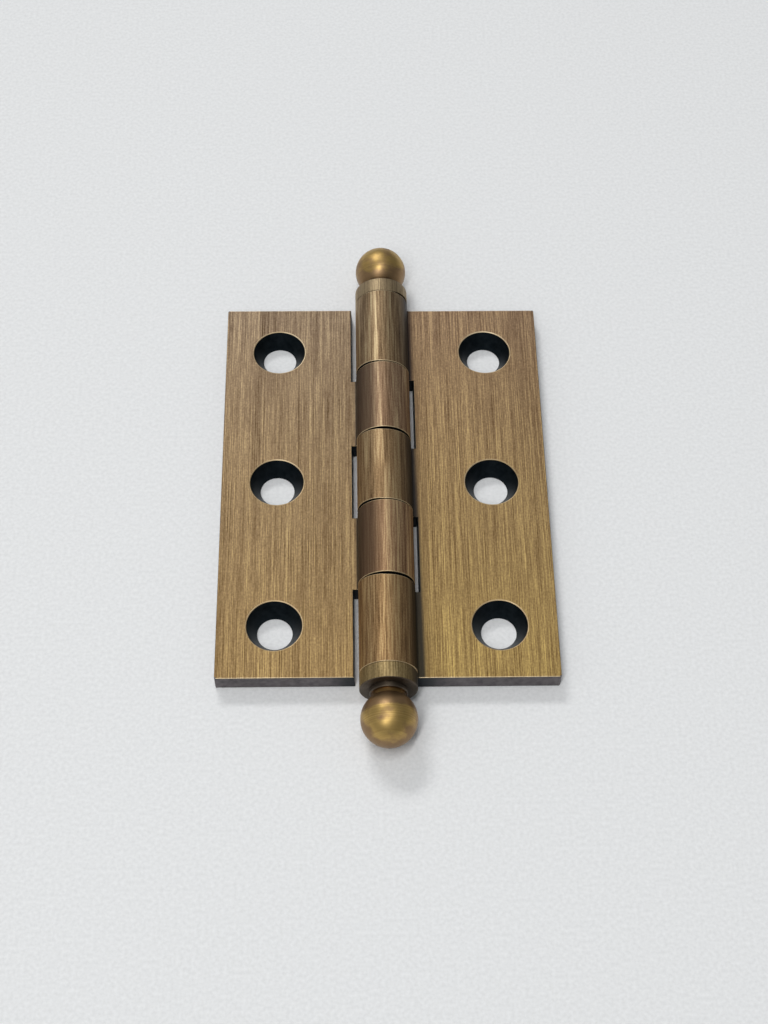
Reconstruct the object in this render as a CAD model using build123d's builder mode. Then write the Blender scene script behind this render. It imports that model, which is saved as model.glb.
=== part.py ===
from build123d import *
import math
import os

# A ball-tip butt hinge, lying open and flat on the back faces of its leaves.
# Millimetres. +X runs across the pin to the frame leaf, +Y along the pin to its top end, and +Z up, out of the
# countersunk faces. The origin is under the middle of the barrel, level with the back faces.

# Leaves
leaf_length = 64.0  # along the pin
leaf_reach = 23.85  # from the pin's axis to the free edge
leaf_thickness = 2.8
edge_break = 0.15  # small flat along the outer edges
crease_radius = 0.35  # where a plate runs into its knuckles

# Barrel
knuckle_count = 5  # shared out in turn, starting with the frame leaf at the top end
barrel_radius = 4.0
inner_knuckle_pitch = 12.25  # the end knuckles take the rest of the leaf
joint_gap = 0.2  # between neighbouring knuckles when the leaves are level
door_leaf_slip = 0.15  # how far the door leaf has slid towards the top end, under joint_gap
slot_clearance = 0.7  # from a knuckle to the slot in the other leaf

# Screw holes
hole_rows = 3
hole_radius = 2.5
countersink_radius = 3.95
countersink_angle = 60.0
hole_end_distance = 8.15  # from the end of the leaf to the outer holes
hole_edge_distance = 8.1  # from the free edge to the holes

# Pin
pin_radius = 2.0
running_clearance = 0.05  # around the pin in the knuckles
end_float = 0.05  # from the end of the barrel to each collar
stud_radius = 1.5  # the threaded ends that carry the collars and tips
stud_reach = 4.0  # past the collar, into the tip
stud_clearance = 0.03  # around the stud in the collar and the tip
stud_end_gap = 0.3  # from the stud's end to the bottom of the tip's hole

# Collars and ball tips
collar_length = 2.35
ball_radius = 3.9
seat_ring_radius = 2.65  # rests on the collar
seat_ring_length = 0.7
groove_radius = 2.3  # between the seat ring and the ball
groove_length = 0.5
ring_rounding = 0.2  # of the seat ring's outer corner

# What follows from the sizes above
barrel_end = leaf_length / 2
shoulder_end = barrel_end + end_float
collar_end = shoulder_end + collar_length
stud_end = collar_end + stud_reach
bore_radius = pin_radius + running_clearance
stud_hole_radius = stud_radius + stud_clearance
slot_edge = barrel_radius + slot_clearance
inner_span = (knuckle_count - 2) * inner_knuckle_pitch
pin_axis = Axis((0, 0, barrel_radius), (0, 1, 0))


def along_pin(end):
    """The upright plane through the pin, with its x running out towards one end (1 top, -1 bottom)."""
    return Plane((0, 0, barrel_radius), x_dir=(0, end, 0), z_dir=(end, 0, 0))


def joint_planes(index):
    """The Y of the lower and upper end of a knuckle's place in the barrel, counted from the top end."""
    upper = inner_span / 2 - (index - 1) * inner_knuckle_pitch
    lower = upper - inner_knuckle_pitch
    if index == 0:
        upper = barrel_end
    if index == knuckle_count - 1:
        lower = -barrel_end
    return lower, upper


def make_leaf(side, first_knuckle, slip):
    """A plate on one side of the pin (1 or -1) with every second knuckle and slots for the others."""
    crease_x = math.sqrt(barrel_radius**2 - (barrel_radius - leaf_thickness) ** 2)
    across_pin = Plane((0, slip, 0), x_dir=(1, 0, 0), z_dir=(0, -1, 0))
    with BuildPart() as leaf:
        # the section across the pin: a flat plate whose back runs straight into the round of the barrel
        with BuildSketch(across_pin) as section:
            with BuildLine():
                Polyline(
                    (0, 0),
                    (side * leaf_reach, 0),
                    (side * leaf_reach, leaf_thickness),
                    (side * crease_x, leaf_thickness),
                )
                ThreePointArc(
                    (side * crease_x, leaf_thickness),
                    (-side * barrel_radius, barrel_radius),
                    (0, 0),
                )
            make_face()
            crease = section.vertices().sort_by_distance((side * crease_x, leaf_thickness))[0]
            fillet(crease, crease_radius)
            free_corners = section.vertices().group_by(Axis.X)[-1 if side > 0 else 0]
            chamfer(free_corners, edge_break)
        extrude(amount=leaf_length / 2, both=True)

        # slots that take the other leaf's knuckles, open past the end of the leaf where one is last
        for index in range(1 - first_knuckle, knuckle_count, 2):
            lower, upper = joint_planes(index)
            lower -= leaf_length if index == knuckle_count - 1 else joint_gap / 2
            upper += leaf_length if index == 0 else joint_gap / 2
            with BuildSketch(Plane.XY):
                with Locations((0, slip + (lower + upper) / 2)):
                    Rectangle(2 * slot_edge, upper - lower)
            extrude(amount=2 * barrel_radius, mode=Mode.SUBTRACT)

        # the same small flat around every end of the plate and the knuckles
        ends = leaf.faces().filter_by(Axis.Y)
        outlines = [edge for end in ends for edge in end.outer_wire().edges()]
        upright = leaf.edges().filter_by(Axis.Z)
        chamfer([edge for edge in outlines if edge not in upright], edge_break)

        # bore for the pin
        with BuildSketch(across_pin):
            with Locations((0, barrel_radius)):
                Circle(bore_radius)
        extrude(amount=leaf_length / 2, both=True, mode=Mode.SUBTRACT)

        # countersunk screw holes in a line
        row_pitch = (leaf_length - 2 * hole_end_distance) / (hole_rows - 1)
        with Locations((side * (leaf_reach - hole_edge_distance), slip, leaf_thickness)):
            with GridLocations(0, row_pitch, 1, hole_rows):
                CounterSinkHole(hole_radius, countersink_radius, counter_sink_angle=countersink_angle)
    return leaf


def make_collar(end):
    """A ring of the barrel's own radius, held on the pin's shoulder by the tip."""
    with BuildPart() as collar:
        with BuildSketch(along_pin(end)) as section:
            with Locations((shoulder_end, stud_hole_radius)):
                Rectangle(collar_length, barrel_radius - stud_hole_radius, align=(Align.MIN, Align.MIN))
            chamfer(section.vertices().group_by(Axis.Y)[-1], edge_break)
        revolve(axis=pin_axis)
    return collar


def make_ball_tip(end):
    """A turned ball on a grooved neck, with a seat ring against the collar and a blind hole for the stud."""
    ring_end = collar_end + seat_ring_length
    ball_start = ring_end + groove_length
    ball_centre = ball_start + math.sqrt(ball_radius**2 - groove_radius**2)
    hole_end = stud_end + stud_end_gap
    with BuildPart() as tip:
        with BuildSketch(along_pin(end)) as section:
            with BuildLine():
                ThreePointArc(
                    (ball_start, groove_radius),
                    (ball_centre, ball_radius),
                    (ball_centre + ball_radius, 0),
                )
                Polyline(
                    (ball_centre + ball_radius, 0),
                    (hole_end, 0),
                    (hole_end, stud_hole_radius),
                    (collar_end, stud_hole_radius),
                    (collar_end, seat_ring_radius),
                    (ring_end, seat_ring_radius),
                    (ring_end, groove_radius),
                    (ball_start, groove_radius),
                )
            make_face()
            ring_corner = section.vertices().sort_by_distance((ring_end, seat_ring_radius))[0]
            fillet(ring_corner, ring_rounding)
        revolve(axis=pin_axis)
    return tip


frame_leaf = make_leaf(side=1, first_knuckle=0, slip=0)
door_leaf = make_leaf(side=-1, first_knuckle=1, slip=door_leaf_slip)

# a straight pin with a shoulder near each end and a stud past it
with BuildPart() as hinge_pin:
    with BuildSketch(along_pin(1)) as pin_section:
        with Locations((-shoulder_end, 0)):
            Rectangle(2 * shoulder_end, pin_radius, align=Align.MIN)
        with Locations((-stud_end, 0)):
            Rectangle(2 * stud_end, stud_radius, align=Align.MIN)
        outer_corners = pin_section.vertices().filter_by(lambda corner: corner.Y > 0)
        stud_tips = outer_corners.group_by(Axis.X)
        chamfer(stud_tips[0] + stud_tips[-1], edge_break)
    revolve(axis=pin_axis)

top_collar = make_collar(1)
bottom_collar = make_collar(-1)
top_ball_tip = make_ball_tip(1)
bottom_ball_tip = make_ball_tip(-1)

os.makedirs("parts", exist_ok=True)
frame_leaf.part.label = "frame_leaf"
export_step(frame_leaf.part, "parts/frame_leaf.step")
door_leaf.part.label = "door_leaf"
export_step(door_leaf.part, "parts/door_leaf.step")
hinge_pin.part.label = "hinge_pin"
export_step(hinge_pin.part, "parts/hinge_pin.step")
top_collar.part.label = "top_collar"
export_step(top_collar.part, "parts/top_collar.step")
bottom_collar.part.label = "bottom_collar"
export_step(bottom_collar.part, "parts/bottom_collar.step")
top_ball_tip.part.label = "top_ball_tip"
export_step(top_ball_tip.part, "parts/top_ball_tip.step")
bottom_ball_tip.part.label = "bottom_ball_tip"
export_step(bottom_ball_tip.part, "parts/bottom_ball_tip.step")
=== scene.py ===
"""Looks for the ball tip butt hinge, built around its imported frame.

The hinge lies open and flat. Sizes are in millimetres and turn to metres where a mesh is made. +X runs across
the pin to the frame leaf, +Y along the pin to its top end, and +Z up, out of the countersunk faces.
"""

import logging
import math
from collections.abc import Callable, Sequence
from dataclasses import dataclass
from enum import Enum
from functools import partial

import bmesh
import bpy
from bmesh.types import BMesh, BMFace, BMVert
from bpy.types import ID, Material, Mesh, Node, NodeSocket, NodeTree, Object
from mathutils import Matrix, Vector


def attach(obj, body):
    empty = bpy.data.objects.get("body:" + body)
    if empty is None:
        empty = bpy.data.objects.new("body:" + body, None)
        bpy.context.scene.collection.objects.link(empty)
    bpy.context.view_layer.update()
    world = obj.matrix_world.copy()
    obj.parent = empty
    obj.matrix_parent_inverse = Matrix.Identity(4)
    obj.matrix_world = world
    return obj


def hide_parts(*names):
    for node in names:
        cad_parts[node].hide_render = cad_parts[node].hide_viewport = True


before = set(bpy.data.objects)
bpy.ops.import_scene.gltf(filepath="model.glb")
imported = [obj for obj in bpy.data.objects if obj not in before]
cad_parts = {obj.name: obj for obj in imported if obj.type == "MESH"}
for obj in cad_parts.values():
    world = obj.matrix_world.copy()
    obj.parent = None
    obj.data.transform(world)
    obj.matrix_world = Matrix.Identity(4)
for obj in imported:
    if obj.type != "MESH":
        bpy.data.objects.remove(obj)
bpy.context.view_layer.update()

log = logging.getLogger("hinge")

MM = 0.001  # metres
BARREL_RADIUS = 4.0  # mm, also the height of the pin's axis above the back faces
SHARP_ANGLE = math.radians(35)  # corners above this stay sharp, or are rounded as rims
MIX_A = 6  # the colour inputs of a Mix node
MIX_B = 7
NOISE_MIDDLE = 0.5
NOISE_LOW = 0.3  # noise seldom goes past these two
NOISE_HIGH = 0.7

# Blender's names for the kinds of node that are used most
MATH = "ShaderNodeMath"
VECTOR_MATH = "ShaderNodeVectorMath"
COMBINE = "ShaderNodeCombineXYZ"
SEPARATE = "ShaderNodeSeparateXYZ"
MAP_RANGE = "ShaderNodeMapRange"  # inputs in order: a value, its two limits and what it is at each of them
RAMP = "ShaderNodeValToRGB"
NOISE = "ShaderNodeTexNoise"
MIX = "ShaderNodeMix"
SET_MATERIAL = "GeometryNodeSetMaterial"
REALIZE = "GeometryNodeRealizeInstances"

AddNode = Callable[..., Node]  # add_node for one tree
Point = tuple[float, float]


class LeafSide(Enum):
    """The side of the pin that a leaf lies on. The value is the sign of X there."""

    FRAME = 1
    DOOR = -1


class PinEnd(Enum):
    """An end of the pin. The value is the sign of Y there."""

    TOP = 1
    BOTTOM = -1


class Grain(Enum):
    """How the brush lines, which all run along the pin, lie beside each other."""

    FLAT = "across X"
    ROUND = "around the pin"


class Turning(Enum):
    """Where a lathe tool left its rings."""

    ROUND = "along the pin"
    FACE = "out from the pin"


def linear(hex_colour: str) -> tuple[float, float, float, float]:
    """Turn an sRGB hex colour into linear light.

    Args:
        hex_colour: A colour such as "#998264".

    Returns:
        Linear red, green, blue and an alpha of 1.
    """
    channels = [int(hex_colour[i : i + 2], 16) / 255 for i in (1, 3, 5)]
    light = [c / 12.92 if c <= 0.04045 else ((c + 0.055) / 1.055) ** 2.4 for c in channels]
    return light[0], light[1], light[2], 1.0


def add_node(
    tree: NodeTree,
    kind: str,
    inputs: dict[str | int, object] | Sequence[object] = (),
    stops: Sequence[tuple[float, str]] = (),
    **settings: object,
) -> Node:
    """Add a node to a tree with its settings and links.

    Args:
        tree: The node tree.
        kind: Blender's name for the kind of node.
        inputs: For each input, by its name or in order, a value, a socket, a node (its first output in use)
            or a list of these.
        stops: Places and hex colours for a colour ramp.
        **settings: The node's own properties.

    Returns:
        The new node.
    """
    node = tree.nodes.new(kind)
    for name, value in settings.items():
        setattr(node, name, value)
    named = inputs if isinstance(inputs, dict) else dict(enumerate(inputs))
    for key, value in named.items():
        for one in value if isinstance(value, list) else [value]:
            if isinstance(one, Node):
                one = next(output for output in one.outputs if output.enabled)
            if isinstance(one, NodeSocket):
                tree.links.new(one, node.inputs[key])
            else:
                node.inputs[key].default_value = one
    for index, (place, colour) in enumerate(stops):
        elements = node.color_ramp.elements
        stop = elements[index] if index < len(elements) else elements.new(place)
        stop.position = place
        stop.color = linear(colour)
    return node


def new_object(name: str, data: ID) -> Object:
    """Put a new object into the scene, at the origin.

    Args:
        name: Its name.
        data: Its mesh, light or camera.

    Returns:
        The object.
    """
    made = bpy.data.objects.new(name, data)
    bpy.context.scene.collection.objects.link(made)
    return made


def evaluated_mesh(source: Object) -> Mesh:
    """Give the plain mesh that an object's modifiers make."""
    depsgraph = bpy.context.evaluated_depsgraph_get()
    return bpy.data.meshes.new_from_object(source.evaluated_get(depsgraph), depsgraph=depsgraph)


def shade_evenly(piece: Object) -> None:
    """Shade a piece smooth, with flat faces kept flat and corners above SHARP_ANGLE kept sharp.

    Args:
        piece: The piece, whose mesh is replaced.
    """
    work = bmesh.new()
    work.from_mesh(piece.data)
    for face in work.faces:
        face.smooth = True
    for edge in work.edges:
        edge.smooth = len(edge.link_faces) == 2 and edge.calc_face_angle(math.pi) < SHARP_ANGLE
    work.to_mesh(piece.data)
    work.free()
    weighting = piece.modifiers.new("even shading", "WEIGHTED_NORMAL")
    weighting.keep_sharp = True
    shaded = evaluated_mesh(piece)
    piece.modifiers.remove(weighting)
    unshaded = piece.data
    piece.data = shaded
    bpy.data.meshes.remove(unshaded)
    shaded.name = piece.name


@dataclass(frozen=True)
class Overlay:
    """A colour laid over a finish, as a stain or as painted shade: where it starts and is full, and its share
    there.
    """

    colour: str
    start: float
    full: float
    share: float


@dataclass(frozen=True)
class Finish:
    """A finish, named for the real material and for how its surface was made."""

    name: str

    def material(self) -> Material:
        """Build the finish.

        Returns:
            The material, which reads Object coordinates.
        """
        material = bpy.data.materials.new(self.name)
        material.use_nodes = True
        material.node_tree.nodes.clear()
        add = partial(add_node, material.node_tree)
        coordinates = add("ShaderNodeTexCoord").outputs["Object"]
        shader = add("ShaderNodeBsdfPrincipled", self.surface(add, coordinates))
        add("ShaderNodeOutputMaterial", {"Surface": shader})
        return material

    def surface(self, add: AddNode, coordinates: NodeSocket) -> dict[str, object]:
        """Add the nodes of the surface.

        Args:
            add: Adds a node to the material.
            coordinates: The place on the piece, in metres.

        Returns:
            What goes into the shader's inputs.
        """
        raise NotImplementedError

    def overlaid(
        self, add: AddNode, under: Node, measure: Node, overlay: Overlay, unit: float = 1.0, **settings: object
    ) -> Node:
        """Lay a stain, or painted shade, over a colour.

        Args:
            add: Adds a node to the material.
            under: The colour.
            measure: What places the overlay.
            overlay: The stain or painted shade.
            unit: The unit of its limits.
            **settings: How the share rises between them.

        Returns:
            The node with the colour and the overlay mixed.
        """
        share = add(MAP_RANGE, [measure, overlay.start * unit, overlay.full * unit, 0.0, overlay.share], **settings)
        colours = {0: share, MIX_A: under, MIX_B: linear(overlay.colour)}
        return add(MIX, colours, data_type="RGBA")


@dataclass(frozen=True)
class BrushLine:
    """One size of line left by the brush, in mm, and its share of the whole pattern."""

    width: float
    length: float
    share: float


@dataclass(frozen=True)
class Tones:
    """The colours of brushed brass, where the brush took little brown off, some, most or none; the last also
    colours painted shade.
    """

    brown: str
    tan: str
    gold: str
    unbrushed_and_shade: str


@dataclass(frozen=True)
class CreaseShade:
    """Painted shade on one side of the pin: in the crease where a plate runs into its knuckles, and on that
    flank of a knuckle or collar.

    The brown and the dark layer of this shade each have a start and a full place in mm across the grain, out
    from the top of the barrel, and a share.
    """

    side: LeafSide
    brown: tuple[float, float, float]
    crease_shade: tuple[float, float, float]
    widening: float = 0.0  # per mm towards the bottom end


@dataclass(frozen=True)
class BrushedBrass(Finish):
    """Solid brass, browned in a bath and then brushed along the pin.

    The brush takes the brown off in long fine lines, so the eye gets a satin brown with gold streaks. Painted
    shade darkens the crease beside the knuckles and one flank of a round piece, and the ends get painted
    shade and light.
    """

    grain: Grain
    tones: Tones
    # painted shade towards the top end and painted light towards the bottom end
    far_painted_shade: str = "#ffffff"
    near_painted_light: str = "#ffffff"
    crease: CreaseShade | None = None
    # the colour of the painted shade in the crease
    crease_shade: str = "#3a3a3a"
    contrast: float = 4.4
    roughness: float = 0.56
    roughness_swing: float = 0.1
    line_depth: float = 0.006
    line_detail: float = 2.0
    leaf_end: float = 32.0
    patch: BrushLine = BrushLine(4.0, 30.0, 0.15)  # soft, left brown
    patch_limits: tuple[float, float] = (0.48, 0.72)
    scratch: BrushLine = BrushLine(0.1, 16.0, 0.5)  # bare brass
    scratch_limits: tuple[float, float] = (0.68, 0.78)
    lines: tuple[BrushLine, ...] = (
        BrushLine(0.12, 1.4, 0.14),  # drawn coarser than a real brush line, which would be too fine to show
        BrushLine(0.12, 5.0, 0.2),
        BrushLine(0.12, 20.0, 0.34),
        BrushLine(0.4, 40.0, 0.06),
        BrushLine(1.5, 60.0, 0.12),
        BrushLine(0.25, 0.35, 0.14),
    )

    def surface(self, add: AddNode, coordinates: NodeSocket) -> dict[str, object]:
        """Add the nodes of the surface.

        Args:
            add: Adds a node to the material.
            coordinates: The place on the piece, in metres.

        Returns:
            What goes into the shader's inputs.
        """
        place = add(SEPARATE, {"Vector": coordinates})
        along = place.outputs["Y"]
        grain = add(COMBINE, {"X": self.across(add, place), "Y": along})
        pattern: Node | float = 0.0
        for line in self.lines:
            pattern = add(MATH, [self.spots(add, grain, line), line.share, pattern], operation="MULTIPLY_ADD")
        spread = NOISE_MIDDLE / self.contrast
        streaks = add(MAP_RANGE, [pattern, NOISE_MIDDLE - spread, NOISE_MIDDLE + spread])
        stops = ((0.0, self.tones.brown), (1.0, self.tones.gold), (0.5, self.tones.tan))
        colour = add(RAMP, {"Fac": streaks}, stops)
        dressed = self.leave_brown_and_shade(add, colour, grain)

        # painted shade, greyer, towards the top end and painted light, more gold, towards the bottom end
        near = add(MAP_RANGE, [along, self.leaf_end * MM, -self.leaf_end * MM])
        tints = {0: near, MIX_A: linear(self.far_painted_shade), MIX_B: linear(self.near_painted_light)}
        tint = add(MIX, tints, data_type="RGBA")
        both = {0: 1.0, MIX_A: dressed, MIX_B: tint}
        tinted = add(MIX, both, data_type="RGBA", blend_type="MULTIPLY")
        swing = self.roughness_swing / 2
        rough = add(MAP_RANGE, [streaks, 0.0, 1.0, self.roughness + swing, self.roughness - swing])
        bump = add("ShaderNodeBump", {"Height": pattern, "Distance": self.line_depth * MM, "Strength": 1.0})
        return {"Base Color": tinted, "Metallic": 1.0, "Roughness": rough, "Normal": bump}

    def across(self, add: AddNode, place: Node) -> NodeSocket:
        """Measure across the grain: along X on a plate, or around the barrel from its top.

        Args:
            add: Adds a node to the material.
            place: The node with the separate coordinates.

        Returns:
            The distance in metres, with the sign of X.
        """
        x, radius = place.outputs["X"], BARREL_RADIUS * MM
        if self.grain is Grain.FLAT:
            return x
        height = add(MATH, [place.outputs["Z"], radius], operation="SUBTRACT")
        turn = add(MATH, [x, height], operation="ARCTAN2")
        return add(MATH, [turn, radius], operation="MULTIPLY").outputs[0]

    def spots(self, add: AddNode, grain: Node, line: BrushLine) -> Node:
        """Draw noise with long spots.

        Args:
            add: Adds a node to the material.
            grain: The coordinates across and along the grain.
            line: The size of the spots.

        Returns:
            The node with the noise.
        """
        scale = (1 / (line.width * MM), 1 / (line.length * MM), 1.0)
        stretched = add(VECTOR_MATH, [grain, scale], operation="MULTIPLY")
        return add(NOISE, {"Vector": stretched, "Scale": 1.0, "Detail": self.line_detail})

    def leave_brown_and_shade(self, add: AddNode, colour: Node, grain: Node) -> Node:
        """Leave brown in soft patches, bare brass in a few long scratches and, in the crease, painted shade.

        Args:
            add: Adds a node to the material.
            colour: The streaks.
            grain: The coordinates across and along the grain.

        Returns:
            The node with the colour that has the brown, the scratches and the painted shade on it.
        """
        patch = Overlay(self.tones.unbrushed_and_shade, *self.patch_limits, self.patch.share)
        dressed = self.overlaid(add, colour, self.spots(add, grain, self.patch), patch)
        scratch = Overlay(self.tones.gold, *self.scratch_limits, self.scratch.share)
        dressed = self.overlaid(add, dressed, self.spots(add, grain, self.scratch), scratch)
        if not self.crease:
            return dressed
        # painted shade in the crease: the unbrushed brown, then the dark layer
        way = (self.crease.side.value, self.crease.widening, 0.0)
        outward = add(VECTOR_MATH, [grain, way], operation="DOT_PRODUCT")
        for layer in (Overlay(self.tones.unbrushed_and_shade, *self.crease.brown), Overlay(self.crease_shade, *self.crease.crease_shade)):
            dressed = self.overlaid(add, dressed, outward, layer, MM, interpolation_type="SMOOTHSTEP")
        return dressed


@dataclass(frozen=True)
class DullMetal(Finish):
    """Metal that no brush reached, such as brass as the browning bath left it.

    The eye gets a dull grey or black with a faint mottle and no lines. Painted shade may lie next to the
    barrel.
    """

    dark: str
    light: str
    roughness: float = 0.45
    roughness_swing: float = 0.2
    mottle_size: float = 0.9
    mottle_detail: float = 4.0
    barrel_shade: Overlay | None = None  # placed by mm from the pin

    def surface(self, add: AddNode, coordinates: NodeSocket) -> dict[str, object]:
        """Add the nodes of the surface.

        Args:
            add: Adds a node to the material.
            coordinates: The place on the piece, in metres.

        Returns:
            What goes into the shader's inputs.
        """
        grit = {"Vector": coordinates, "Scale": 1 / (self.mottle_size * MM), "Detail": self.mottle_detail}
        mottle = add(NOISE, grit)
        colour = add(RAMP, {"Fac": mottle}, ((NOISE_LOW, self.dark), (NOISE_HIGH, self.light)))
        # painted shade on the faces next to the barrel
        if self.barrel_shade:
            across = add(SEPARATE, {"Vector": coordinates}).outputs["X"]
            distance = add(MATH, [across], operation="ABSOLUTE")
            colour = self.overlaid(add, colour, distance, self.barrel_shade, MM, interpolation_type="SMOOTHSTEP")
        swing = self.roughness_swing / 2
        rough = add(MAP_RANGE, [mottle, 0.0, 1.0, self.roughness - swing, self.roughness + swing])
        return {"Base Color": colour, "Metallic": 1.0, "Roughness": rough}


@dataclass(frozen=True)
class TurnedBrass(Finish):
    """Brass turned on a lathe, browned and rubbed up.

    The eye gets a glossy gold with fine rings around the pin and thin brown clouds, with more clouds lower
    down as painted shade on the underside, and more next to the neck as brown and painted shade.
    """

    turning: Turning
    brown: str
    gold: str
    cloud: str
    roughness: float = 0.42
    roughness_swing: tuple[float, float] = (-0.05, 0.09)  # between the clouds and in them
    ring_width: float = 0.16  # drawn coarser than real tool marks, which would be too fine to show
    ring_depth: float = 0.0015
    ring_detail: float = 2.0
    ring_contrast: float = 0.8
    cloud_size: float = 1.8
    cloud_detail: float = 4.0
    cloud_limits: tuple[float, float] = (0.45, 0.7)
    cloud_share: float = 0.75
    underside_shade_from: float = 3.0  # mm above the pin's axis, where the painted shade on the underside starts
    underside_shade_share: tuple[float, float] = (-0.06, 0.52)  # how many more clouds there, and as far below the axis, as painted shade
    # more clouds next to the neck: brown, and painted shade over the highlight there
    neck_brown_and_shade: float = 0.45
    neck_shade_until: float = -1.0  # mm along the pin from the middle of the hinge, up to which the neck's brown and shade are full
    neck_shade_gone: float = 0.0  # and where they are gone

    def surface(self, add: AddNode, coordinates: NodeSocket) -> dict[str, object]:
        """Add the nodes of the surface.

        Args:
            add: Adds a node to the material.
            coordinates: The place on the piece, in metres.

        Returns:
            What goes into the shader's inputs.
        """
        axis = (0.0, 0.0, BARREL_RADIUS * MM)
        from_axis = add(VECTOR_MATH, [coordinates, axis], operation="SUBTRACT")
        x, along, height = add(SEPARATE, {"Vector": from_axis}).outputs
        ring_place = along
        if self.turning is Turning.FACE:
            flat = add(COMBINE, {"X": x, "Z": height})
            ring_place = add(VECTOR_MATH, [flat], operation="LENGTH")
        per_metre = 1 / (self.ring_width * MM)
        steps = add(MATH, [ring_place, per_metre], operation="MULTIPLY")
        rings = add(NOISE, {"W": steps, "Scale": 1.0, "Detail": self.ring_detail}, noise_dimensions="1D")
        spread = NOISE_MIDDLE / self.ring_contrast
        stops = ((NOISE_MIDDLE - spread, self.brown), (NOISE_MIDDLE + spread, self.gold))
        colour = add(RAMP, {"Fac": rings}, stops)

        # clouds, with more lower down as painted shade on the underside, and next to the neck as brown and
        # painted shade
        puffs = {"Vector": coordinates, "Scale": 1 / (self.cloud_size * MM), "Detail": self.cloud_detail}
        clouds = add(NOISE, puffs)
        low_shade = add(MAP_RANGE, [height, self.underside_shade_from * MM, -self.underside_shade_from * MM, *self.underside_shade_share])
        out = add(MATH, [along], operation="ABSOLUTE")
        neck = add(MAP_RANGE, [out, self.neck_shade_until * MM, self.neck_shade_gone * MM, self.neck_brown_and_shade, 0.0])
        shade_and_brown = add(MATH, [low_shade, neck], operation="ADD")
        more = add(MATH, [clouds, shade_and_brown], operation="ADD")
        clouded = self.overlaid(add, colour, more, Overlay(self.cloud, *self.cloud_limits, self.cloud_share))
        least, most = self.roughness_swing
        rough = add(MAP_RANGE, [clouds, NOISE_LOW, NOISE_HIGH, self.roughness + least, self.roughness + most])
        bump = add("ShaderNodeBump", {"Height": rings, "Distance": self.ring_depth * MM, "Strength": 1.0})
        return {"Base Color": clouded, "Metallic": 1.0, "Roughness": rough, "Normal": bump}


@dataclass(frozen=True)
class MattCard(Finish):
    """White card with a matt face. The eye gets an even pale grey with a very faint mottle."""

    pale: str
    grey: str
    mottle_size: float = 0.5
    mottle_detail: float = 5.0
    roughness: float = 0.9
    shine: float = 0.1

    def surface(self, add: AddNode, coordinates: NodeSocket) -> dict[str, object]:
        """Add the nodes of the surface.

        Args:
            add: Adds a node to the material.
            coordinates: The place on the floor, in metres.

        Returns:
            What goes into the shader's inputs.
        """
        grit = {"Vector": coordinates, "Scale": 1 / (self.mottle_size * MM), "Detail": self.mottle_detail}
        mottle = add(NOISE, grit)
        colour = add(RAMP, {"Fac": mottle}, ((NOISE_LOW, self.grey), (NOISE_HIGH, self.pale)))
        return {"Base Color": colour, "Roughness": self.roughness, "Specular IOR Level": self.shine}


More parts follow.
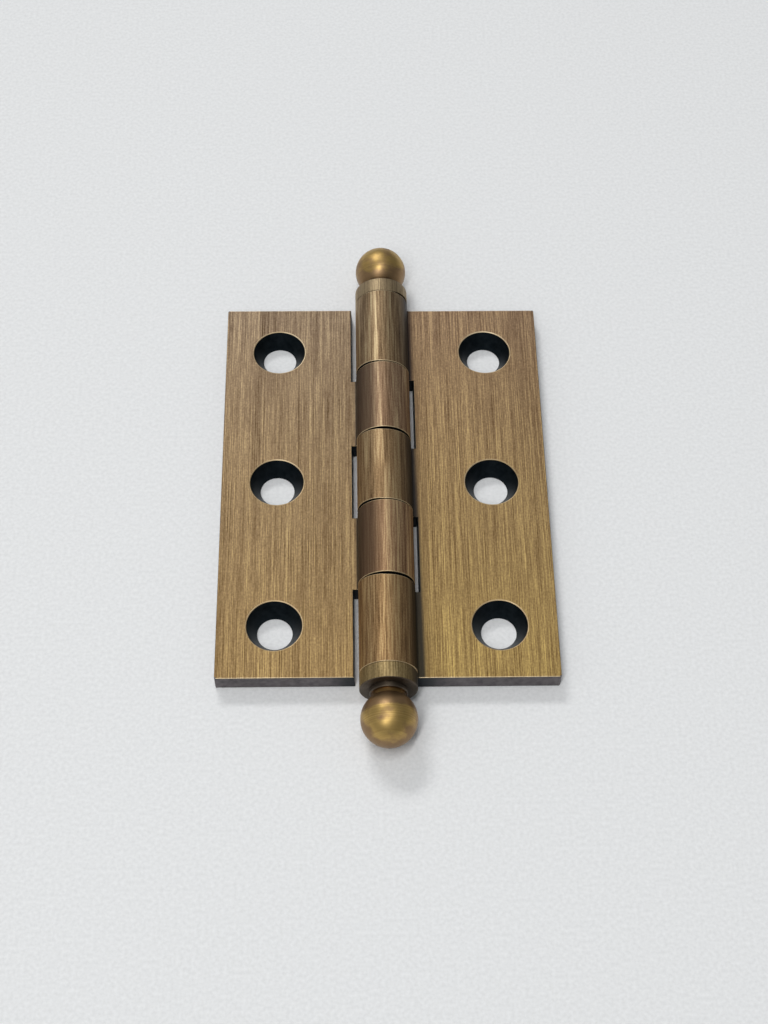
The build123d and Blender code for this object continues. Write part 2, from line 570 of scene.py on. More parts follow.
class LeafCutter:
    """The Geometry Nodes tree that slots, bores and drills a leaf's bar, with a named input for each size."""

    SOCKETS = {
        "NodeSocketGeometry": ("Bar",),
        "NodeSocketInt": ("Slot Count", "Hole Count", "Round Steps"),
        "NodeSocketFloat": (
            *("Slot Pitch", "Slot Length", "Slot Width", "Slot Skew", "Slot Draft"),
            *("Leaf Length", "Slip", "Barrel Radius", "Bore Radius", "Plate Thickness", "Plate Edge"),
            *("Hole Column", "Hole Pitch", "Hole Radius", "Sink Radius", "Sink Depth"),
        ),
        "NodeSocketMaterial": ("Cut Finish", "Recess Finish"),
    }
    OVERCUT = 0.5 * MM  # how far a cutter runs past the faces that it leaves by
    ROUGHLY = 0.9  # a normal this far along an axis counts as facing it
    SLOT_HEIGHT = 6.0  # of a slot's cutter, in barrel radii
    RUN_OUT = 2.0  # how much longer a slot's cutter is where it runs out, in slot lengths

    def __init__(self) -> None:
        """Build the tree."""
        self.tree = bpy.data.node_groups.new("leaf cutting", "GeometryNodeTree")
        self.add = partial(add_node, self.tree)
        for kind, names in self.SOCKETS.items():
            for name in names:
                self.tree.interface.new_socket(name, in_out="INPUT", socket_type=kind)
        self.tree.interface.new_socket("Leaf", in_out="OUTPUT", socket_type="NodeSocketGeometry")
        self.given = self.add("NodeGroupInput").outputs
        finish = self.given["Recess Finish"]
        shapes = (self.slots(), self.bore(), self.holes())
        cutters = [self.add(SET_MATERIAL, {"Geometry": one, "Material": finish}) for one in shapes]
        meshes = {"Mesh 1": self.given["Bar"], "Mesh 2": cutters}
        cut = self.add("GeometryNodeMeshBoolean", meshes, operation="DIFFERENCE", solver="EXACT")
        leaf = self.add(REALIZE, {"Geometry": cut})
        sawn = {"Geometry": leaf, "Selection": self.cut_faces(), "Material": self.given["Cut Finish"]}
        ended = self.add(SET_MATERIAL, sawn)
        self.add("NodeGroupOutput", {"Leaf": ended})

    def row(self, what: str, column: object) -> Node:
        """Lay points along the pin, evenly about the leaf's middle.

        Args:
            what: "Slot" or "Hole", which starts the names of the inputs.
            column: The X of the row.

        Returns:
            The node with the points.
        """
        add = self.add
        count, pitch = self.given[what + " Count"], self.given[what + " Pitch"]
        gaps = add(MATH, [count, 1.0], operation="SUBTRACT")
        span = add(MATH, [gaps, pitch], operation="MULTIPLY")
        first = add(MATH, [span, -0.5, self.given["Slip"]], operation="MULTIPLY_ADD")
        start = add(COMBINE, {"X": column, "Y": first})
        step = add(COMBINE, {"Y": pitch})
        line = {"Count": count, "Start Location": start, "Offset": step}
        return add("GeometryNodeMeshLine", line, mode="OFFSET")

    def slots(self) -> Node:
        """Make the cutters for the other leaf's knuckles. One near the leaf's end runs out past it.

        Returns:
            The node with the blocks, which lean by the skew along the pin and by the draft across it.
        """
        add, given = self.add, self.given
        place = add(SEPARATE, [add("GeometryNodeInputPosition")]).outputs
        length, width = given["Slot Length"], given["Slot Width"]
        from_middle = add(MATH, [place["Y"], given["Slip"]], operation="SUBTRACT")
        distance = add(MATH, [from_middle], operation="ABSOLUTE")
        slot_end = add(MATH, [length, 0.5, distance], operation="MULTIPLY_ADD")
        rim = add(MATH, [slot_end, given["Plate Thickness"]], operation="ADD")
        half_leaf = add(MATH, [given["Leaf Length"], 0.5], operation="MULTIPLY")
        runs_out = add(MATH, [rim, half_leaf], operation="GREATER_THAN")
        way = add(MATH, [from_middle], operation="SIGN")
        outward = add(MATH, [way, runs_out], operation="MULTIPLY")
        past = add(MATH, [outward, length], operation="MULTIPLY")
        shift = add(COMBINE, {"Y": past})
        points = add("GeometryNodeSetPosition", {"Geometry": self.row("Slot", 0.0), "Offset": shift})
        height = add(MATH, [given["Barrel Radius"], self.SLOT_HEIGHT], operation="MULTIPLY")
        size = add(COMBINE, {"X": width, "Y": length, "Z": height})
        block = add("GeometryNodeMeshCube", {"Size": size, "Vertices X": 3})
        longer = add(MATH, [runs_out, self.RUN_OUT, 1.0], operation="MULTIPLY_ADD")
        stretch = add(COMBINE, {"X": 1.0, "Y": longer, "Z": 1.0})
        placed = add("GeometryNodeInstanceOnPoints", {"Points": points, "Instance": block, "Scale": stretch})
        square = add(REALIZE, {"Geometry": placed})
        left = add(MATH, [place["X"], 0.0], operation="MINIMUM")
        lean = add(MATH, [left, given["Slot Skew"]], operation="MULTIPLY")
        above = add(MATH, [place["Z"], given["Plate Thickness"]], operation="SUBTRACT")
        wall = add(MATH, [place["X"]], operation="SIGN")
        tilt = add(MATH, [wall, given["Slot Draft"]], operation="MULTIPLY")
        drawn_in = add(MATH, [above, tilt], operation="MULTIPLY")
        sideways = add(COMBINE, {"X": drawn_in, "Y": lean})
        return add("GeometryNodeSetPosition", {"Geometry": square, "Offset": sideways})

    def bore(self) -> Node:
        """Make the cutter for the pin's bore.

        Returns:
            The node with a rod along the pin, longer than the leaf.
        """
        add, given = self.add, self.given
        depth = add(MATH, [given["Leaf Length"], 2.0], operation="MULTIPLY")
        size = {"Vertices": given["Round Steps"], "Radius": given["Bore Radius"], "Depth": depth}
        rod = add("GeometryNodeMeshCylinder", size)
        axis = add(COMBINE, {"Z": given["Barrel Radius"]})
        turn = (math.pi / 2, 0.0, 0.0)
        return add("GeometryNodeTransform", {"Geometry": rod, "Translation": axis, "Rotation": turn})

    def holes(self) -> Node:
        """Make the cutters for the screw holes.

        Returns:
            The node with the drills, each of which widens to the countersink.
        """
        add, given = self.add, self.given
        thickness, sink, radius = given["Plate Thickness"], given["Sink Depth"], given["Hole Radius"]
        land = add(MATH, [thickness, sink], operation="SUBTRACT")
        depth = add(MATH, [land, self.OVERCUT], operation="ADD")
        size = {"Vertices": given["Round Steps"], "Radius": radius, "Depth": depth}
        drill = add("GeometryNodeMeshCylinder", size)
        middle = add(MATH, [depth, 0.5, -self.OVERCUT], operation="MULTIPLY_ADD")
        lift = add(COMBINE, {"Z": middle})
        raised = add("GeometryNodeTransform", {"Geometry": drill, "Translation": lift})
        flare = add(MATH, [sink, self.OVERCUT], operation="ADD")
        rise = add(COMBINE, {"Z": flare})
        faces = {"Mesh": raised, "Selection": drill.outputs["Top"], "Offset": rise, "Individual": False}
        drawn = add("GeometryNodeExtrudeMesh", {**faces, "Offset Scale": 1.0}, mode="FACES")
        widening = add(MATH, [given["Sink Radius"], radius], operation="SUBTRACT")
        slope = add(MATH, [widening, sink], operation="DIVIDE")
        mouth = add(MATH, [flare, slope, radius], operation="MULTIPLY_ADD")
        scale = add(MATH, [mouth, radius], operation="DIVIDE")
        rims = {"Geometry": drawn, "Selection": drawn.outputs["Top"], "Scale": scale}
        widened = add("GeometryNodeScaleElements", rims, domain="FACE")
        points = self.row("Hole", given["Hole Column"])
        placed = add("GeometryNodeInstanceOnPoints", {"Points": points, "Instance": widened})
        return add(REALIZE, {"Geometry": placed})

    def cut_faces(self) -> Node:
        """Pick the sawn faces.

        Returns:
            The node that is true on the leaf's two ends and its long free edge.
        """
        add, given = self.add, self.given
        normal = add(VECTOR_MATH, [add("GeometryNodeInputNormal")], operation="ABSOLUTE")
        facing = add(SEPARATE, [normal]).outputs
        middle = add(COMBINE, {"Y": given["Slip"]})
        offset = add(VECTOR_MATH, [add("GeometryNodeInputPosition"), middle], operation="SUBTRACT")
        apart = add(VECTOR_MATH, [offset], operation="ABSOLUTE")
        distance = add(SEPARATE, [apart]).outputs
        half_leaf = add(MATH, [given["Leaf Length"], 0.5, -self.OVERCUT], operation="MULTIPLY_ADD")
        last = add(MATH, [distance["Y"], half_leaf], operation="GREATER_THAN")
        along = add(MATH, [facing["Y"], self.ROUGHLY], operation="GREATER_THAN")
        end = add(MATH, [last, along], operation="MULTIPLY")
        limit = add(MATH, [given["Plate Edge"], self.OVERCUT], operation="SUBTRACT")
        outer = add(MATH, [distance["X"], limit], operation="GREATER_THAN")
        upright = add(MATH, [facing["X"], self.ROUGHLY], operation="GREATER_THAN")
        edge = add(MATH, [outer, upright], operation="MULTIPLY")
        return add(MATH, [end, edge], operation="MAXIMUM")


@dataclass(frozen=True)
class LeafFinishes:
    """The finishes of one leaf."""

    plate: Material
    barrel: Material
    cut: Material
    recess: Material
    worn: Material
    knuckle_rim: Material


@dataclass
class HingeLeaf:
    """A leaf: a drawn plate with knuckles, slotted for the other leaf and drilled for screws. Sizes in mm."""

    node: str
    side: LeafSide
    finishes: LeafFinishes
    slot_count: int
    slip: float = 0.0
    length: float = 64.0
    reach: float = 23.85
    thickness: float = 2.8
    crease_radius: float = 0.35
    bore_radius: float = 2.05
    knuckle_pitch: float = 12.25
    joint_gap: float = 0.2
    slot_skew: float = 0.0  # how far the knuckle ends run off square on the -X side, per mm
    slot_draft: float = 0.03  # how far the slots' long walls lean in, per mm down
    slot_edge: float = 4.7
    hole_count: int = 3
    hole_radius: float = 2.5
    sink_radius: float = 3.95
    sink_angle: float = 60.0
    hole_end_distance: float = 8.15
    hole_edge_distance: float = 8.1
    rim_round: float = 0.1
    corner_round: float = 0.3
    weld: float = 0.001  # points nearer than this are one
    barrel_margin: float = 0.04  # faces this near to the barrel's round are part of it
    barrel_steps: int = 108
    crease_steps: int = 6
    hole_steps: int = 96
    rim_steps: int = 4
    corner_steps: int = 4
    far_facing: float = 0.3  # a rim's face that faces the top end by more than this
    low_facing: float = 0.5  # and up by less than this gets the recess finish as painted shade

    def section(self) -> list[Point]:
        """Give the leaf's outline across the pin.

        Returns:
            Points (x, z) in mm, in the order that faces the bottom end.
        """
        middle = Vector((0.0, BARREL_RADIUS))
        crease_z = self.thickness + self.crease_radius
        crease_x = math.sqrt((BARREL_RADIUS + self.crease_radius) ** 2 - (crease_z - BARREL_RADIUS) ** 2)
        crease = Vector((crease_x, crease_z))
        inward = (middle - crease).normalized()
        down = math.radians(270)
        meets = math.atan2(inward.y, inward.x) % math.tau
        points = [(0.0, 0.0), (self.reach, 0.0), (self.reach, self.thickness)]
        for step in range(self.crease_steps + 1):
            turn = down + (meets - down) * step / self.crease_steps
            points.append(tuple(crease + self.crease_radius * Vector((math.cos(turn), math.sin(turn)))))
        start = math.atan2(-inward.y, -inward.x)
        for step in range(1, self.barrel_steps):
            turn = start + (down - start) * step / self.barrel_steps
            points.append(tuple(middle + BARREL_RADIUS * Vector((math.cos(turn), math.sin(turn)))))
        if self.side is LeafSide.DOOR:
            points = [(-x, z) for x, z in reversed(points)]
        return points

    def bar(self) -> Mesh:
        """Draw the section out to the leaf's length.

        Returns:
            A closed bar with one finish on the plate and one around the barrel, not yet slotted or drilled.
        """
        section = self.section()
        count = len(section)
        ends = (self.slip - self.length / 2, self.slip + self.length / 2)
        points = [(x * MM, y * MM, z * MM) for y in ends for x, z in section]
        sides = [((i + 1) % count, i, i + count, (i + 1) % count + count) for i in range(count)]
        caps = [tuple(range(count)), tuple(reversed(range(count, 2 * count)))]
        mesh = bpy.data.meshes.new(self.node)
        mesh.from_pydata(points, [], sides + caps)
        mesh.materials.append(self.finishes.plate)
        mesh.materials.append(self.finishes.barrel)
        for face in mesh.polygons:
            from_pin = math.hypot(face.center.x, face.center.z - BARREL_RADIUS * MM)
            face.material_index = int(from_pin < (BARREL_RADIUS + self.barrel_margin) * MM)
        return mesh

    def build(self, cutter: LeafCutter) -> Object:
        """Make the leaf from its bar.

        Args:
            cutter: The tree that cuts it.

        Returns:
            The leaf, with its finishes on its faces and its rims rounded.
        """
        bar = new_object(self.node + "_bar", self.bar())
        modifier = bar.modifiers.new("cutting", "NODES")
        modifier.node_group = cutter.tree
        sink_slope = math.tan(math.radians(self.sink_angle / 2))
        lengths = {
            "Slot Pitch": 2 * self.knuckle_pitch,
            "Slot Length": self.knuckle_pitch + self.joint_gap,
            "Slot Width": 2 * self.slot_edge,
            "Leaf Length": self.length,
            "Slip": self.slip,
            "Barrel Radius": BARREL_RADIUS,
            "Bore Radius": self.bore_radius,
            "Plate Thickness": self.thickness,
            "Plate Edge": self.reach,
            "Hole Column": self.side.value * (self.reach - self.hole_edge_distance),
            "Hole Pitch": (self.length - 2 * self.hole_end_distance) / (self.hole_count - 1),
            "Hole Radius": self.hole_radius,
            "Sink Radius": self.sink_radius,
            "Sink Depth": (self.sink_radius - self.hole_radius) / sink_slope,
        }
        values = {
            **{name: length * MM for name, length in lengths.items()},
            "Slot Count": self.slot_count,
            "Slot Skew": self.slot_skew,
            "Slot Draft": self.slot_draft,
            "Hole Count": self.hole_count,
            "Round Steps": self.hole_steps,
            "Cut Finish": self.finishes.cut,
            "Recess Finish": self.finishes.recess,
        }
        for socket in cutter.tree.interface.items_tree:
            if socket.name in values:
                modifier[socket.identifier] = values[socket.name]
        leaf = new_object(self.node + "_brass", evaluated_mesh(bar))
        bpy.data.objects.remove(bar)
        self.round_edges(leaf.data)
        shade_evenly(leaf)
        return leaf

    def round_edges(self, mesh: Mesh) -> None:
        """Round the plate's corners and the rims where a brushed face meets a cut one, and finish each rim.

        Args:
            mesh: The leaf's mesh.
        """
        mesh.materials.append(self.finishes.worn)
        mesh.materials.append(self.finishes.knuckle_rim)
        finishes = list(mesh.materials)
        cut, worn = finishes.index(self.finishes.cut), finishes.index(self.finishes.worn)
        brushed = {finishes.index(finish) for finish in (self.finishes.plate, self.finishes.barrel)}
        rounding = dict(offset_type="OFFSET", profile=0.5, affect="EDGES", clamp_overlap=False)
        work = bmesh.new()
        work.from_mesh(mesh)
        bmesh.ops.remove_doubles(work, verts=work.verts, dist=self.weld * MM)
        corners = [
            edge
            for edge in work.edges
            if all(abs(abs(vert.co.x) - self.reach * MM) < self.weld * MM for vert in edge.verts)
            and abs(edge.verts[0].co.z - edge.verts[1].co.z) > self.thickness * MM / 2
        ]
        size = dict(offset=self.corner_round * MM, segments=self.corner_steps)
        bmesh.ops.bevel(work, geom=corners, material=cut, **size, **rounding)
        rims = [
            edge
            for edge in work.edges
            if len(edge.link_faces) == 2
            and len({face.material_index in brushed for face in edge.link_faces}) == 2
            and edge.calc_face_angle_signed() > SHARP_ANGLE
        ]
        size = dict(offset=self.rim_round * MM, segments=self.rim_steps)
        bmesh.ops.bevel(work, geom=rims, material=worn, **size, **rounding)
        for face in work.faces:
            if face.material_index == worn:
                face.material_index = finishes.index(self.rim_finish(face))
        work.to_mesh(mesh)
        work.free()

    def rim_finish(self, face: BMFace) -> Material:
        """Pick the finish of a face on a rim.

        Args:
            face: The face.

        Returns:
            Dark where it turns down, into a joint or along a slot, which paints shade there, the plate's own
            at a slot's end and along the free edge, bright at the leaf's ends, and less so around the holes
            and knuckles.
        """
        centre = face.calc_center_median() / MM
        across = abs(centre.x)
        facing = face.normal
        # rims that turn down or into a joint get the dark recess finish as painted shade
        shaded_far_end = facing.y > self.far_facing and facing.z < self.low_facing
        if abs(facing.y) > LeafCutter.ROUGHLY or shaded_far_end or facing.z < 0:
            return self.finishes.recess
        if across < BARREL_RADIUS + self.rim_round:
            return self.finishes.knuckle_rim
        if across < self.slot_edge + self.rim_round:
            return self.finishes.recess if abs(facing.x) > abs(facing.y) else self.finishes.plate
        if abs(centre.y - self.slip) > self.length / 2 - self.rim_round:
            return self.finishes.worn
        return self.finishes.plate if across > self.reach - self.rim_round else self.finishes.knuckle_rim

    def dress(self, leaf: Object) -> None:
        """Fix the leaf to its body, in place of its CAD node.

        Args:
            leaf: The leaf that was built.
        """
        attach(leaf, self.node)
        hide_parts(self.node)


@dataclass(frozen=True)
class Band:
    """A run of points (out along the pin, radius) in mm on a turned outline, and the finish of its faces."""

    points: tuple[Point, ...]
    finish: Material


def arc(centre: Point, radius: float, start: float, end: float, steps: int) -> list[Point]:
    """Give points on an arc.

    Args:
        centre: Its centre.
        radius: Its radius.
        start: Its first angle in degrees.
        end: Its last angle in degrees.
        steps: How many chords it has.

    Returns:
        The points, both ends included.
    """
    turns = [math.radians(start + (end - start) * step / steps) for step in range(steps + 1)]
    return [(centre[0] + radius * math.cos(turn), centre[1] + radius * math.sin(turn)) for turn in turns]


@dataclass
class TurnedPiece:
    """A piece turned about the pin's axis at one end of the pin. Sizes in mm."""

    node: str
    end: PinEnd
    slot: str
    turn_steps: int = 128
    corner_steps: int = 4

    def outline(self) -> list[Band]:
        """Give the bands of the outline, end to end, from the inside round to the outside."""
        raise NotImplementedError

    def build(self) -> Object:
        """Turn the outline about the pin.

        Returns:
            The piece as a closed mesh with a finish on each band.
        """
        bands = self.outline()
        mesh = bpy.data.meshes.new(self.node)
        finishes = list(dict.fromkeys(band.finish for band in bands))
        for finish in finishes:
            mesh.materials.append(finish)
        work = bmesh.new()
        points = dict.fromkeys(point for band in bands for point in band.points)
        rings = {point: self.ring(work, *point) for point in points}
        for band in bands:
            for start, stop in zip(band.points, band.points[1:]):
                first, second = rings[start], rings[stop]
                for step in range(self.turn_steps):
                    corners = [first[turn % len(first)] for turn in (step, step + 1)]
                    corners += [second[turn % len(second)] for turn in (step + 1, step)]
                    face = work.faces.new(list(dict.fromkeys(corners)))
                    face.material_index = finishes.index(band.finish)
        bmesh.ops.recalc_face_normals(work, faces=work.faces)
        work.to_mesh(mesh)
        work.free()
        piece = new_object(self.node + "_turned", mesh)
        shade_evenly(piece)
        return piece

    def ring(self, work: BMesh, out: float, radius: float) -> list[BMVert]:
        """Turn one point of the outline about the pin.

        Args:
            work: The mesh that gets the ring.
            out: The point's place along the pin, in mm.
            radius: Its distance from the axis.

        Returns:
            The ring, which is a single point on the axis.
        """
        ring = []
        for step in range(self.turn_steps if radius > 0 else 1):
            turn = math.tau * step / self.turn_steps
            across = radius * math.cos(turn)
            along = self.end.value * (out + self.lean(out, across))
            place = Vector((across, along, BARREL_RADIUS + radius * math.sin(turn)))
            ring.append(work.verts.new(place * MM))
        return ring

    def lean(self, out: float, across: float) -> float:
        """Give how far the outline leans outwards here. A true piece doesn't lean."""
        return 0.0

    def dress(self, piece: Object) -> None:
        """Fix the piece to the pin, in place of its CAD node.

        Args:
            piece: The piece that was built.
        """
        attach(piece, "pin")
        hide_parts(self.node)


@dataclass(kw_only=True)
class Collar(TurnedPiece):
    """A ring of the barrel's own radius, between the barrel and the ball tip."""

    brushed: Material
    faced: Material
    start: float = 32.05
    length: float = 2.35
    hole_radius: float = 1.53
    inner_corner: float = 0.06
    outer_corner: float = 0.1
    inner_lean: float = 0.0  # how far the inner end stands off the barrel on the +X side
    lean_start: float = 1.5  # across the pin

    def lean(self, out: float, across: float) -> float:
        """Give how far the inner end leans away from the barrel here.

        Args:
            out: The place along the pin, in mm.
            across: The place across it.

        Returns:
            The lean in mm.
        """
        inner = out <= self.start + self.inner_corner
        share = max(across - self.lean_start, 0.0) / (BARREL_RADIUS - self.lean_start)
        return self.inner_lean * share if inner else 0.0

    def outline(self) -> list[Band]:
        """Give the ring's outline.

        Returns:
            Its two ends, its round, the rounded corners between them and its hole.
        """
        finish = self.start + self.length
        inner_centre = (self.start + self.inner_corner, BARREL_RADIUS - self.inner_corner)
        outer_centre = (finish - self.outer_corner, BARREL_RADIUS - self.outer_corner)
        low_corner = arc(inner_centre, self.inner_corner, 180, 90, self.corner_steps)
        high_corner = arc(outer_centre, self.outer_corner, 90, 0, self.corner_steps)
        low_hole, high_hole = (self.start, self.hole_radius), (finish, self.hole_radius)
        return [
            Band((low_hole, low_corner[0]), self.faced),
            Band((*low_corner, high_corner[0]), self.brushed),
            Band((*high_corner, high_hole, low_hole), self.faced),
        ]


@dataclass(kw_only=True)
class BallTip(TurnedPiece):
    """A turned ball on a grooved neck, with a seat ring against the collar and a blind hole for the stud."""

    turned: Material
    neck: Material
    faced: Material
    recess: Material
    start: float = 34.4
    ball_radius: float = 3.9
    ring_radius: float = 2.65
    ring_length: float = 0.7
    ring_corner: float = 0.2
    groove_radius: float = 2.3
    groove_length: float = 0.5
    hole_radius: float = 1.53
    hole_depth: float = 4.3
    ball_steps: int = 72

    def outline(self) -> list[Band]:
        """Give the tip's outline.

        Returns:
            The hole from its bottom, the seat ring, the neck and the ball up to its pole.
        """
        ring_end = self.start + self.ring_length
        ball_start = ring_end + self.groove_length
        hole_end = self.start + self.hole_depth
        centre = ball_start + math.sqrt(self.ball_radius**2 - self.groove_radius**2)
        first = math.degrees(math.atan2(self.groove_radius, ball_start - centre))
        corner_centre = (ring_end - self.ring_corner, self.ring_radius - self.ring_corner)
        corner = arc(corner_centre, self.ring_corner, 90, 0, self.corner_steps)
        ball = arc((centre, 0.0), self.ball_radius, first, 0, self.ball_steps)
        ball[0], ball[-1] = (ball_start, self.groove_radius), (centre + self.ball_radius, 0.0)
        seat = (self.start, self.ring_radius)
        hole = ((hole_end, 0.0), (hole_end, self.hole_radius), (self.start, self.hole_radius))
        return [
            Band((*hole, seat), self.recess),
            Band((seat, *corner), self.faced),
            Band((corner[-1], (ring_end, self.groove_radius), ball[0]), self.neck),
            Band(tuple(ball), self.turned),
        ]


@dataclass(frozen=True)
class SoftLamp:
    """A rectangular lamp that faces the hinge. Sizes in mm."""

    name: str
    towards: tuple[float, float, float]
    distance: float
    width: float
    height: float
    radiance: float

    def hang(self) -> None:
        """Hang the lamp in its direction from the hinge."""
        light = bpy.data.lights.new(self.name, "AREA")
        light.shape = "RECTANGLE"
        light.size = self.width * MM
        light.size_y = self.height * MM
        light.energy = self.radiance * math.pi * light.size * light.size_y
        hung = new_object(self.name, light)
        direction = Vector(self.towards).normalized()
        hung.location = direction * self.distance * MM
        hung.rotation_euler = direction.to_track_quat("Z", "Y").to_euler()


@dataclass
class Studio:
    """The pale table, the soft light above it and the camera. Sizes in mm."""

    card: Material
    floor_reach: float = 4000.0
    lamps: tuple[SoftLamp, ...] = (
        SoftLamp("window_lamp", (-0.36, 0.94, 1.0), 1400.0, 500.0, 200.0, 18.0),
        SoftLamp("ceiling_strip", (-0.145, -0.31, 0.95), 700.0, 76.0, 680.0, 14.2),
    )
    sky_towards: tuple[float, float, float] = (-0.9, -0.2, 0.1)
    sky_turned_away: float = -0.5  # the cosine to that direction from which the sky is dim
    sky_bright: str = "#a6a7a9"
    sky_dim: str = "#7a7c7e"
    camera_place: tuple[float, float, float] = (-5.003, -139.925, 216.879)
    camera_turn: tuple[float, float, float] = (0.5621, -0.01245, -0.0163)
    lens: float = 61.32
    sensor: float = 36.0

    def build(self) -> None:
        """Build the stage and set the camera and the view."""
        self.lay_floor()
        for lamp in self.lamps:
            lamp.hang()
        self.paint_sky()
        self.set_camera()
        bpy.context.scene.view_settings.view_transform = "Standard"

    def lay_floor(self) -> None:
        """Lay the table top, level with the back faces of the leaves."""
        reach = self.floor_reach * MM
        mesh = bpy.data.meshes.new("table")
        corners = [(-reach, -reach, 0), (reach, -reach, 0), (reach, reach, 0), (-reach, reach, 0)]
        mesh.from_pydata(corners, [], [(0, 1, 2, 3)])
        mesh.materials.append(self.card)
        new_object("table", mesh)

    def paint_sky(self) -> None:
        """Give the room a dim light that comes mostly from the left."""
        world = bpy.data.worlds.new("room")
        bpy.context.scene.world = world
        world.use_nodes = True
        world.node_tree.nodes.clear()
        add = partial(add_node, world.node_tree)
        direction = add("ShaderNodeTexCoord").outputs["Generated"]
        towards = tuple(Vector(self.sky_towards).normalized())
        facing = add(VECTOR_MATH, [direction, towards], operation="DOT_PRODUCT")
        share = add(MAP_RANGE, [facing, self.sky_turned_away, 1.0], interpolation_type="SMOOTHSTEP")
        stops = ((0.0, self.sky_dim), (1.0, self.sky_bright))
        colour = add(RAMP, {"Fac": share}, stops)
        light = add("ShaderNodeBackground", {"Color": colour, "Strength": 1.0})
        add("ShaderNodeOutputWorld", {"Surface": light})

    def set_camera(self) -> None:
        """Set the camera at the photograph's viewpoint."""
        data = bpy.data.cameras.new("camera")
        data.lens = self.lens
        data.sensor_width = self.sensor
        data.clip_start = MM
        camera = new_object("camera", data)
        camera.location = Vector(self.camera_place) * MM
        camera.rotation_euler = self.camera_turn
        bpy.context.scene.camera = camera


# Finishes of the leaves
KNUCKLE_LINES = (
    BrushLine(0.18, 4.5, 0.28),
    BrushLine(0.4, 14.0, 0.3),
    BrushLine(1.2, 40.0, 0.3),
    BrushLine(0.22, 0.3, 0.12),
)
KNUCKLE_CONTRAST = 4.3
# The creases paint shade: beside the barrel on a plate, and on one flank of a knuckle.
FRAME_PLATE = BrushedBrass(
    "antique brass, brushed, frame plate",
    Grain.FLAT,
    Tones("#765a3a", "#aa8f62", "#e3c482", "#755d42"),
    far_painted_shade="#dfddff",
    near_painted_light="#f8f8e8",
    crease=CreaseShade(LeafSide.FRAME, (6.8, 4.6, 0.5), (5.1, 4.3, 0.9), widening=0.015),
)
FRAME_KNUCKLES = BrushedBrass(
    "antique brass, brushed, frame knuckles",
    Grain.ROUND,
    Tones("#614c37", "#a38968", "#d5bf96", "#5f4f3e"),
    far_painted_shade="#e6e8ec",
    near_painted_light="#f6ebd8",
    crease=CreaseShade(LeafSide.FRAME, (1.3, 4.2, 0.5), (2.5, 5.4, 0.95)),
    contrast=KNUCKLE_CONTRAST,
    lines=KNUCKLE_LINES,
)
DOOR_PLATE = BrushedBrass(
    "antique brass, brushed, door plate",
    Grain.FLAT,
    Tones("#70563b", "#9e8364", "#d0b284", "#6b543f"),
    far_painted_shade="#dfe7fa",
    near_painted_light="#f9f9e2",
    crease=CreaseShade(LeafSide.DOOR, (4.9, 4.3, 0.25), (4.4, 4.0, 0.8)),
)
DOOR_KNUCKLES = BrushedBrass(
    "antique brass, brushed, door knuckles",
    Grain.ROUND,
    Tones("#6d543f", "#a0846a", "#d8c09a", "#655244"),
    far_painted_shade="#f8fcff",
    near_painted_light="#fff3de",
    crease=CreaseShade(LeafSide.DOOR, (-0.5, 2.2, 0.8), (2.6, 6.0, 0.8)),
    contrast=KNUCKLE_CONTRAST,
    lines=KNUCKLE_LINES,
)
# painted shade on the sawn faces next to the barrel
BARREL_SHADE = Overlay("#101d23", 9.5, 4.5, 0.92)
SAWN_FACE = DullMetal("browned brass, sawn face", "#565254", "#7b7577", barrel_shade=BARREL_SHADE)
RECESS = DullMetal("browned brass, blackened recess", "#1a2227", "#2a3136", roughness=0.5)
WORN_RIM = BrushedBrass(
    "brass, rim rubbed bright",
    Grain.FLAT,
    Tones("#bcab90", "#d9c9b0", "#ecdfc9", "#a08c70"),
    near_painted_light="#fff8e6",
    roughness=0.46,
)
KNUCKLE_RIM = BrushedBrass(
    "brass, knuckle rim", Grain.ROUND, Tones("#ab9774", "#d2be9c", "#eadab8", "#8c775c"), near_painted_light="#fff9ee"
)

# Finishes of the pin, its collars and its tips
TOP_COLLAR = BrushedBrass(
    "antique brass, brushed, top collar",
    Grain.ROUND,
    Tones("#70604a", "#98866a", "#c0ac88", "#66543e"),
    contrast=3.4,
)
# The bottom collar's crease paints shade on its +X flank.
BOTTOM_COLLAR = BrushedBrass(
    "antique brass, brushed, bottom collar",
    Grain.ROUND,
    Tones("#66563a", "#95815a", "#c6ae7e", "#5a4b36"),
    crease=CreaseShade(LeafSide.FRAME, (1.8, 4.0, 0.5), (2.6, 5.0, 0.85)),
)
BALL_TONES = (Turning.ROUND, "#a4834e", "#cfb26e", "#856a55")
NECK_TONES = (Turning.ROUND, "#6b5132", "#9a7a4a", "#5c442c")
FACE_TONES = (Turning.FACE, "#453d34", "#74685a", "#4c443a")
# each ball's neck brown and painted shade ends at its own place
TOP_BALL = TurnedBrass("antique brass, turned, top ball", *BALL_TONES, neck_shade_until=35.9, neck_shade_gone=38.2)
BOTTOM_BALL = TurnedBrass("antique brass, turned, bottom ball", *BALL_TONES, neck_shade_until=37.7, neck_shade_gone=38.5)
NECK = TurnedBrass("antique brass, turned neck", *NECK_TONES, roughness=0.34)
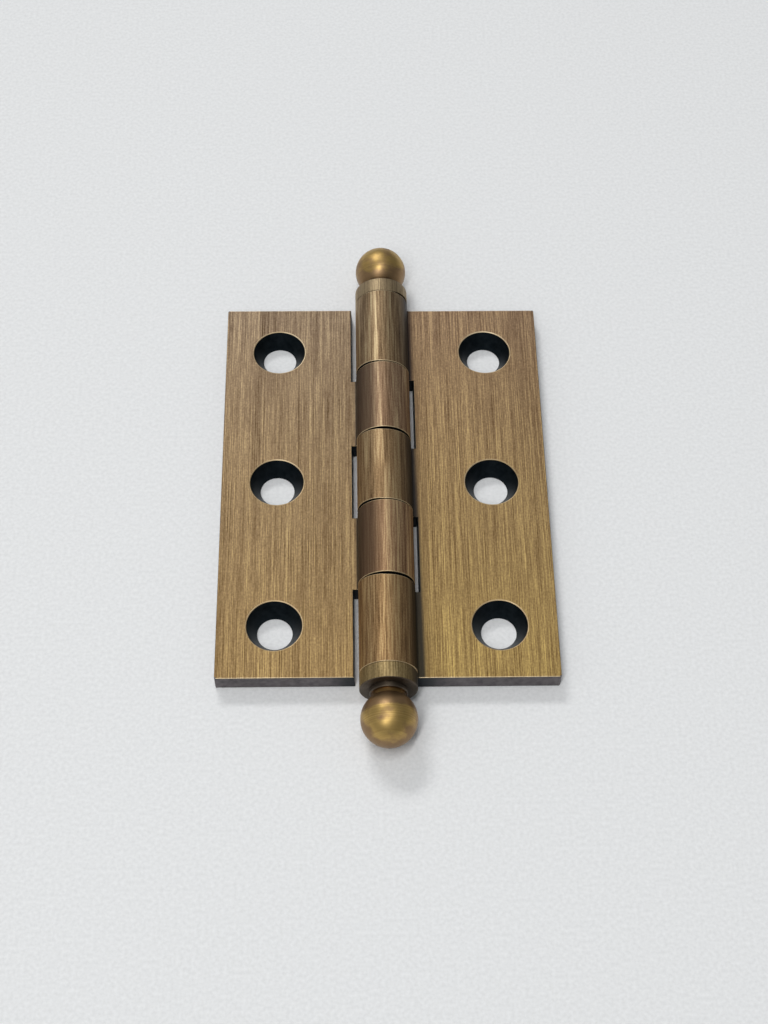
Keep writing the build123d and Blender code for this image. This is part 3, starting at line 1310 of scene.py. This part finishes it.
FACED_END = TurnedBrass("antique brass, faced", *FACE_TONES, roughness=0.45)
PIN_STEEL = DullMetal("drawn steel", "#8a8885", "#b5b2ad", roughness=0.35)
TABLE_CARD = MattCard("matt card", pale="#f6f7f7", grey="#eaebeb")


def report(piece: Object) -> None:
    """Say in the log that a piece is there."""
    log.info("%s: %d faces", piece.name, len(piece.data.polygons))


def main() -> None:
    """Build the hinge and its stage, and report each piece."""
    logging.basicConfig(level=logging.INFO, format="%(name)s: %(message)s")
    shared = [finish.material() for finish in (SAWN_FACE, RECESS, WORN_RIM, KNUCKLE_RIM)]
    frame_finishes = LeafFinishes(FRAME_PLATE.material(), FRAME_KNUCKLES.material(), *shared)
    door_finishes = LeafFinishes(DOOR_PLATE.material(), DOOR_KNUCKLES.material(), *shared)
    cutter = LeafCutter()
    frame_sizes = dict(slot_count=2, slot_skew=-0.09)
    door_sizes = dict(slot_count=3, slip=0.15, joint_gap=0.34, slot_draft=0.07)
    leaves = (
        HingeLeaf("frame_leaf", LeafSide.FRAME, frame_finishes, **frame_sizes),
        HingeLeaf("door_leaf", LeafSide.DOOR, door_finishes, **door_sizes),
    )
    for leaf in leaves:
        made = leaf.build(cutter)
        leaf.dress(made)
        report(made)

    faced = FACED_END.material()
    tip_finishes = dict(neck=NECK.material(), faced=faced, recess=frame_finishes.recess)
    ends = (
        (PinEnd.TOP, TOP_COLLAR.material(), TOP_BALL.material(), 0.45),
        (PinEnd.BOTTOM, BOTTOM_COLLAR.material(), BOTTOM_BALL.material(), 0.0),
    )
    for end, collar, ball, lean in ends:
        name = end.name.lower()
        turned = (
            Collar(name + "_collar", end, "collar_brass", brushed=collar, faced=faced, inner_lean=lean),
            BallTip(name + "_ball_tip", end, "ball_brass", turned=ball, **tip_finishes),
        )
        for piece in turned:
            made = piece.build()
            piece.dress(made)
            report(made)

    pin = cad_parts["hinge_pin"]
    pin.data.materials.clear()
    pin.data.materials.append(PIN_STEEL.material())
    report(pin)
    Studio(TABLE_CARD.material()).build()


if __name__ == "__main__":
    main()
